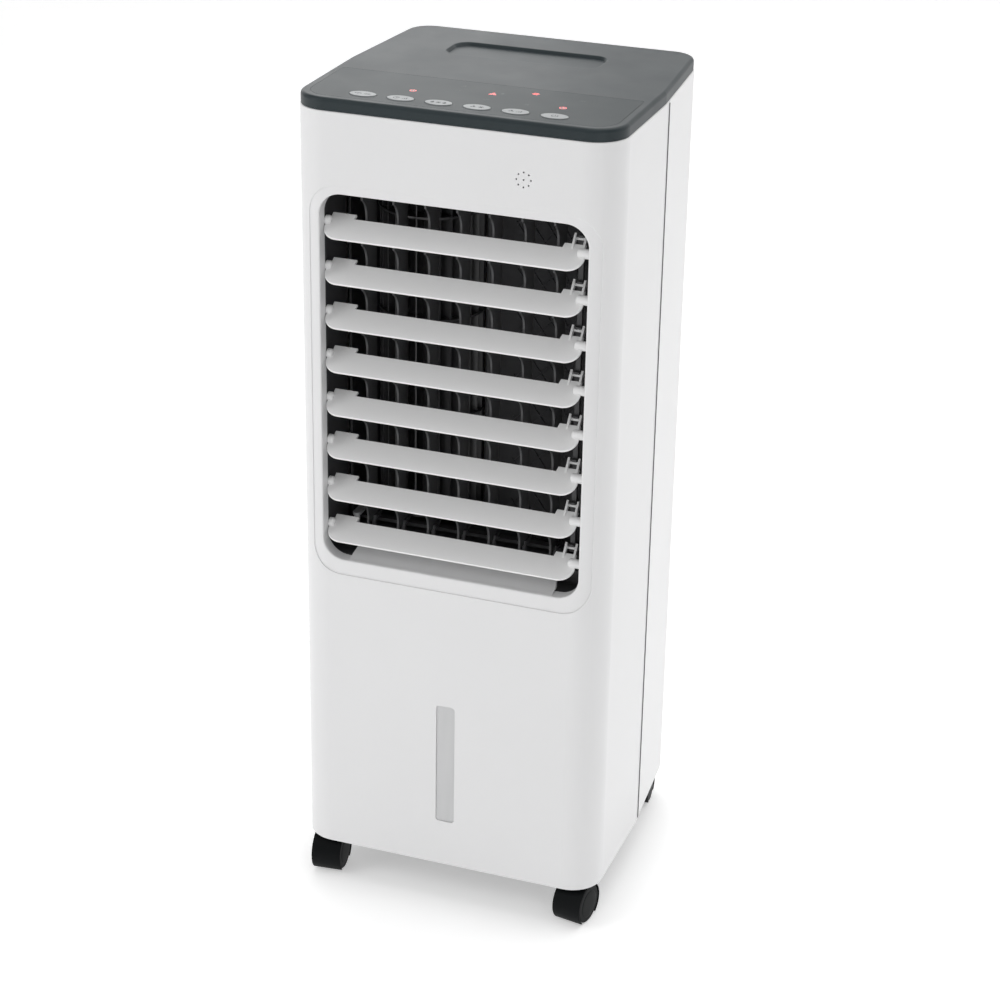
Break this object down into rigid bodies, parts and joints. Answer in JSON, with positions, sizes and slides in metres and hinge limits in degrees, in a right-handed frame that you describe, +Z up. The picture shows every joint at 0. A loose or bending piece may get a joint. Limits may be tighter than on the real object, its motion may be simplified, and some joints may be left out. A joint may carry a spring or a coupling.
{
  "type": "evaporative cooler",
  "caption": "Upright evaporative air cooler on casters, with tilting louvres, swinging vanes, a blower wheel, a wetted pad cassette and a slide-out water tank.",
  "frame": {"origin": "centre of the bounding box's footprint, on the floor under the casters", "axes": "+Z up, front face towards -Y, +X to the right of someone facing the front"},
  "size_m": [0.275, 0.2562, 0.7235],
  "materials": {
    "white_casing": "smooth semi-gloss moulded plastic",
    "dark_cover": "fine grained satin",
    "overlay": "smooth film",
    "key_plastic": "satin",
    "louvre_plastic": "satin",
    "duct_plastic": "satin black",
    "black_plastic": "satin black",
    "inner_plastic": "unpainted moulding",
    "tank_plastic": "milky moulding",
    "window": "frosted clear",
    "red_lens": "translucent red",
    "rubber": "matte",
    "hose": "soft milky",
    "steel": "zinc plated",
    "motor_steel": "pressed steel",
    "bearing_bronze": "sintered",
    "circuit_board": "lacquered laminate",
    "paper_pad": "corrugated cellulose",
    "filter_mesh": "woven nylon mesh"
  },
  "bodies": {
    "casing": {"base_pan": "black_plastic", "base_screws": "steel", "control_board": "circuit_board", "control_overlay": "overlay", "cord_gland": "rubber", "distributor_tray": "inner_plastic", "fan_bush": "bearing_bronze", "fan_motor": "motor_steel", "fan_scroll": "duct_plastic", "front_shell": "white_casing", "indicator_lenses": "red_lens", "outlet_frame": "duct_plastic", "outlet_sill": "white_casing", "rear_shell": "white_casing", "sounder": "black_plastic", "swing_motor": "motor_steel", "top_cover": "dark_cover", "water_hose": "hose", "water_pump": "black_plastic", "water_window": "window"},
    "key_1": {"key_1": "key_plastic"},
    "key_2": {"key_2": "key_plastic"},
    "key_3": {"key_3": "key_plastic"},
    "key_4": {"key_4": "key_plastic"},
    "key_5": {"key_5": "key_plastic"},
    "key_6": {"key_6": "key_plastic"},
    "louvre_1": {"louvre_1": "louvre_plastic"},
    "louvre_2": {"louvre_2": "louvre_plastic"},
    "louvre_3": {"louvre_3": "louvre_plastic"},
    "louvre_4": {"louvre_4": "louvre_plastic"},
    "louvre_5": {"louvre_5": "louvre_plastic"},
    "louvre_6": {"louvre_6": "louvre_plastic"},
    "louvre_7": {"louvre_7": "louvre_plastic"},
    "louvre_8": {"louvre_8": "louvre_plastic"},
    "louvre_link": {"louvre_link": "duct_plastic"},
    "vane_1": {"vane_1": "duct_plastic"},
    "vane_2": {"vane_2": "duct_plastic"},
    "vane_3": {"vane_3": "duct_plastic"},
    "vane_4": {"vane_4": "duct_plastic"},
    "vane_5": {"vane_5": "duct_plastic"},
    "vane_6": {"vane_6": "duct_plastic"},
    "vane_7": {"vane_7": "duct_plastic"},
    "vane_link": {"vane_link": "duct_plastic"},
    "swing_arm": {"swing_arm": "inner_plastic"},
    "fan": {"fan_wheel": "duct_plastic", "fan_shaft": "steel"},
    "tank": {"water_tank": "tank_plastic"},
    "latch": {"tank_latch": "white_casing"},
    "cassette": {"rear_grille": "white_casing", "dust_filter": "filter_mesh", "pad_cassette": "inner_plastic", "cooling_pad": "paper_pad"},
    "caster_front_left": {"caster_hood_front_left": "black_plastic"},
    "wheels_front_left": {"caster_wheels_front_left": "black_plastic"},
    "caster_front_right": {"caster_hood_front_right": "black_plastic"},
    "wheels_front_right": {"caster_wheels_front_right": "black_plastic"},
    "caster_rear_left": {"caster_hood_rear_left": "black_plastic"},
    "wheels_rear_left": {"caster_wheels_rear_left": "black_plastic"},
    "caster_rear_right": {"caster_hood_rear_right": "black_plastic"},
    "wheels_rear_right": {"caster_wheels_rear_right": "black_plastic"}
  },
  "joints": [
    {"name": "key_1_press", "type": "slide", "parent": "casing", "child": "key_1", "axis": [0, 0, -1], "range_m": [0, 0.0006], "stiffness_N_per_m": 600},
    {"name": "key_2_press", "type": "slide", "parent": "casing", "child": "key_2", "axis": [0, 0, -1], "range_m": [0, 0.0006], "stiffness_N_per_m": 600},
    {"name": "key_3_press", "type": "slide", "parent": "casing", "child": "key_3", "axis": [0, 0, -1], "range_m": [0, 0.0006], "stiffness_N_per_m": 600},
    {"name": "key_4_press", "type": "slide", "parent": "casing", "child": "key_4", "axis": [0, 0, -1], "range_m": [0, 0.0006], "stiffness_N_per_m": 600},
    {"name": "key_5_press", "type": "slide", "parent": "casing", "child": "key_5", "axis": [0, 0, -1], "range_m": [0, 0.0006], "stiffness_N_per_m": 600},
    {"name": "key_6_press", "type": "slide", "parent": "casing", "child": "key_6", "axis": [0, 0, -1], "range_m": [0, 0.0006], "stiffness_N_per_m": 600},
    {"name": "louvre_1_tilt", "type": "hinge", "parent": "casing", "child": "louvre_1", "pos_m": [-0.0021, -0.1105, 0.6174], "axis": [-1, 0, 0], "range_deg": [-20, 57]},
    {"name": "louvre_2_tilt", "type": "hinge", "parent": "casing", "child": "louvre_2", "pos_m": [-0.0021, -0.1105, 0.5788], "axis": [-1, 0, 0], "range_deg": [-20, 57]},
    {"name": "louvre_3_tilt", "type": "hinge", "parent": "casing", "child": "louvre_3", "pos_m": [-0.0021, -0.1105, 0.5402], "axis": [-1, 0, 0], "range_deg": [-20, 57]},
    {"name": "louvre_4_tilt", "type": "hinge", "parent": "casing", "child": "louvre_4", "pos_m": [-0.0021, -0.1105, 0.5016], "axis": [-1, 0, 0], "range_deg": [-20, 57]},
    {"name": "louvre_5_tilt", "type": "hinge", "parent": "casing", "child": "louvre_5", "pos_m": [-0.0021, -0.1105, 0.463], "axis": [-1, 0, 0], "range_deg": [-20, 57]},
    {"name": "louvre_6_tilt", "type": "hinge", "parent": "casing", "child": "louvre_6", "pos_m": [-0.0021, -0.1105, 0.4244], "axis": [-1, 0, 0], "range_deg": [-20, 57]},
    {"name": "louvre_7_tilt", "type": "hinge", "parent": "casing", "child": "louvre_7", "pos_m": [-0.0021, -0.1105, 0.3858], "axis": [-1, 0, 0], "range_deg": [-20, 57]},
    {"name": "louvre_8_tilt", "type": "hinge", "parent": "casing", "child": "louvre_8", "pos_m": [-0.0021, -0.1105, 0.3472], "axis": [-1, 0, 0], "range_deg": [-20, 57]},
    {"name": "louvre_link_pivot", "type": "hinge", "parent": "louvre_1", "child": "louvre_link", "pos_m": [0.1002, -0.0982, 0.62508], "axis": [-1, 0, 0], "range_deg": [-57, 20]},
    {"name": "vane_1_swing", "type": "hinge", "parent": "casing", "child": "vane_1", "pos_m": [-0.0857, -0.078, 0.342], "axis": [0, 0, 1], "range_deg": [-35, 35]},
    {"name": "vane_2_swing", "type": "hinge", "parent": "casing", "child": "vane_2", "pos_m": [-0.0582, -0.078, 0.342], "axis": [0, 0, 1], "range_deg": [-35, 35]},
    {"name": "vane_3_swing", "type": "hinge", "parent": "casing", "child": "vane_3", "pos_m": [-0.0307, -0.078, 0.342], "axis": [0, 0, 1], "range_deg": [-35, 35]},
    {"name": "vane_4_swing", "type": "hinge", "parent": "casing", "child": "vane_4", "pos_m": [-0.0032, -0.078, 0.342], "axis": [0, 0, 1], "range_deg": [-35, 35]},
    {"name": "vane_5_swing", "type": "hinge", "parent": "casing", "child": "vane_5", "pos_m": [0.0243, -0.078, 0.342], "axis": [0, 0, 1], "range_deg": [-35, 35]},
    {"name": "vane_6_swing", "type": "hinge", "parent": "casing", "child": "vane_6", "pos_m": [0.0518, -0.078, 0.342], "axis": [0, 0, 1], "range_deg": [-35, 35]},
    {"name": "vane_7_swing", "type": "hinge", "parent": "casing", "child": "vane_7", "pos_m": [0.0793, -0.078, 0.342], "axis": [0, 0, 1], "range_deg": [-35, 35]},
    {"name": "vane_link_pivot", "type": "hinge", "parent": "vane_1", "child": "vane_link", "pos_m": [-0.0857, -0.068, 0.338], "axis": [0, 0, 1], "range_deg": [-35, 35]},
    {"name": "swing_arm_turn", "type": "hinge", "parent": "casing", "child": "swing_arm", "pos_m": [-0.1017, -0.078, 0.342], "axis": [0, 0, 1], "range_deg": [-35, 35]},
    {"name": "fan_spin", "type": "hinge", "parent": "casing", "child": "fan", "pos_m": [-0.056, -0.018, 0.5], "axis": [0, 0, 1], "continuous": true},
    {"name": "tank_slide", "type": "slide", "parent": "casing", "child": "tank", "axis": [0, 1, 0], "range_m": [0, 0.15]},
    {"name": "latch_turn", "type": "hinge", "parent": "casing", "child": "latch", "pos_m": [0, 0.126, 0.223], "axis": [0, -1, 0], "range_deg": [-90, 0]},
    {"name": "cassette_slide", "type": "slide", "parent": "casing", "child": "cassette", "axis": [0, 1, 0], "range_m": [0, 0.08]},
    {"name": "front_left_swivel", "type": "hinge", "parent": "casing", "child": "caster_front_left", "pos_m": [-0.11825, -0.09487, 0.045], "axis": [0, 0, 1], "continuous": true},
    {"name": "front_left_roll", "type": "hinge", "parent": "caster_front_left", "child": "wheels_front_left", "pos_m": [-0.117, -0.1068, 0.0175], "axis": [0.9945, 0.1045, 0], "continuous": true},
    {"name": "front_right_swivel", "type": "hinge", "parent": "casing", "child": "caster_front_right", "pos_m": [0.11908, -0.09498, 0.045], "axis": [0, 0, 1], "continuous": true},
    {"name": "front_right_roll", "type": "hinge", "parent": "caster_front_right", "child": "wheels_front_right", "pos_m": [0.117, -0.1068, 0.0175], "axis": [0.9848, -0.1736, 0], "continuous": true},
    {"name": "rear_left_swivel", "type": "hinge", "parent": "casing", "child": "caster_rear_left", "pos_m": [-0.11008, 0.09498, 0.045], "axis": [0, 0, 1], "continuous": true},
    {"name": "rear_left_roll", "type": "hinge", "parent": "caster_rear_left", "child": "wheels_rear_left", "pos_m": [-0.108, 0.1068, 0.0175], "axis": [-0.9848, 0.1736, 0], "continuous": true},
    {"name": "rear_right_swivel", "type": "hinge", "parent": "casing", "child": "caster_rear_right", "pos_m": [0.10925, 0.09487, 0.045], "axis": [0, 0, 1], "continuous": true},
    {"name": "rear_right_roll", "type": "hinge", "parent": "caster_rear_right", "child": "wheels_rear_right", "pos_m": [0.108, 0.1068, 0.0175], "axis": [-0.9945, -0.1045, 0], "continuous": true}
  ],
  "couplings": [
    {"joint": "louvre_2_tilt", "follows": "louvre_1_tilt", "ratio": 1},
    {"joint": "louvre_3_tilt", "follows": "louvre_1_tilt", "ratio": 1},
    {"joint": "louvre_4_tilt", "follows": "louvre_1_tilt", "ratio": 1},
    {"joint": "louvre_5_tilt", "follows": "louvre_1_tilt", "ratio": 1},
    {"joint": "louvre_6_tilt", "follows": "louvre_1_tilt", "ratio": 1},
    {"joint": "louvre_7_tilt", "follows": "louvre_1_tilt", "ratio": 1},
    {"joint": "louvre_8_tilt", "follows": "louvre_1_tilt", "ratio": 1},
    {"joint": "louvre_link_pivot", "follows": "louvre_1_tilt", "ratio": -1},
    {"joint": "vane_2_swing", "follows": "vane_1_swing", "ratio": 1},
    {"joint": "vane_3_swing", "follows": "vane_1_swing", "ratio": 1},
    {"joint": "vane_4_swing", "follows": "vane_1_swing", "ratio": 1},
    {"joint": "vane_5_swing", "follows": "vane_1_swing", "ratio": 1},
    {"joint": "vane_6_swing", "follows": "vane_1_swing", "ratio": 1},
    {"joint": "vane_7_swing", "follows": "vane_1_swing", "ratio": 1},
    {"joint": "vane_link_pivot", "follows": "vane_1_swing", "ratio": -1},
    {"joint": "swing_arm_turn", "follows": "vane_1_swing", "ratio": 1}
  ]
}
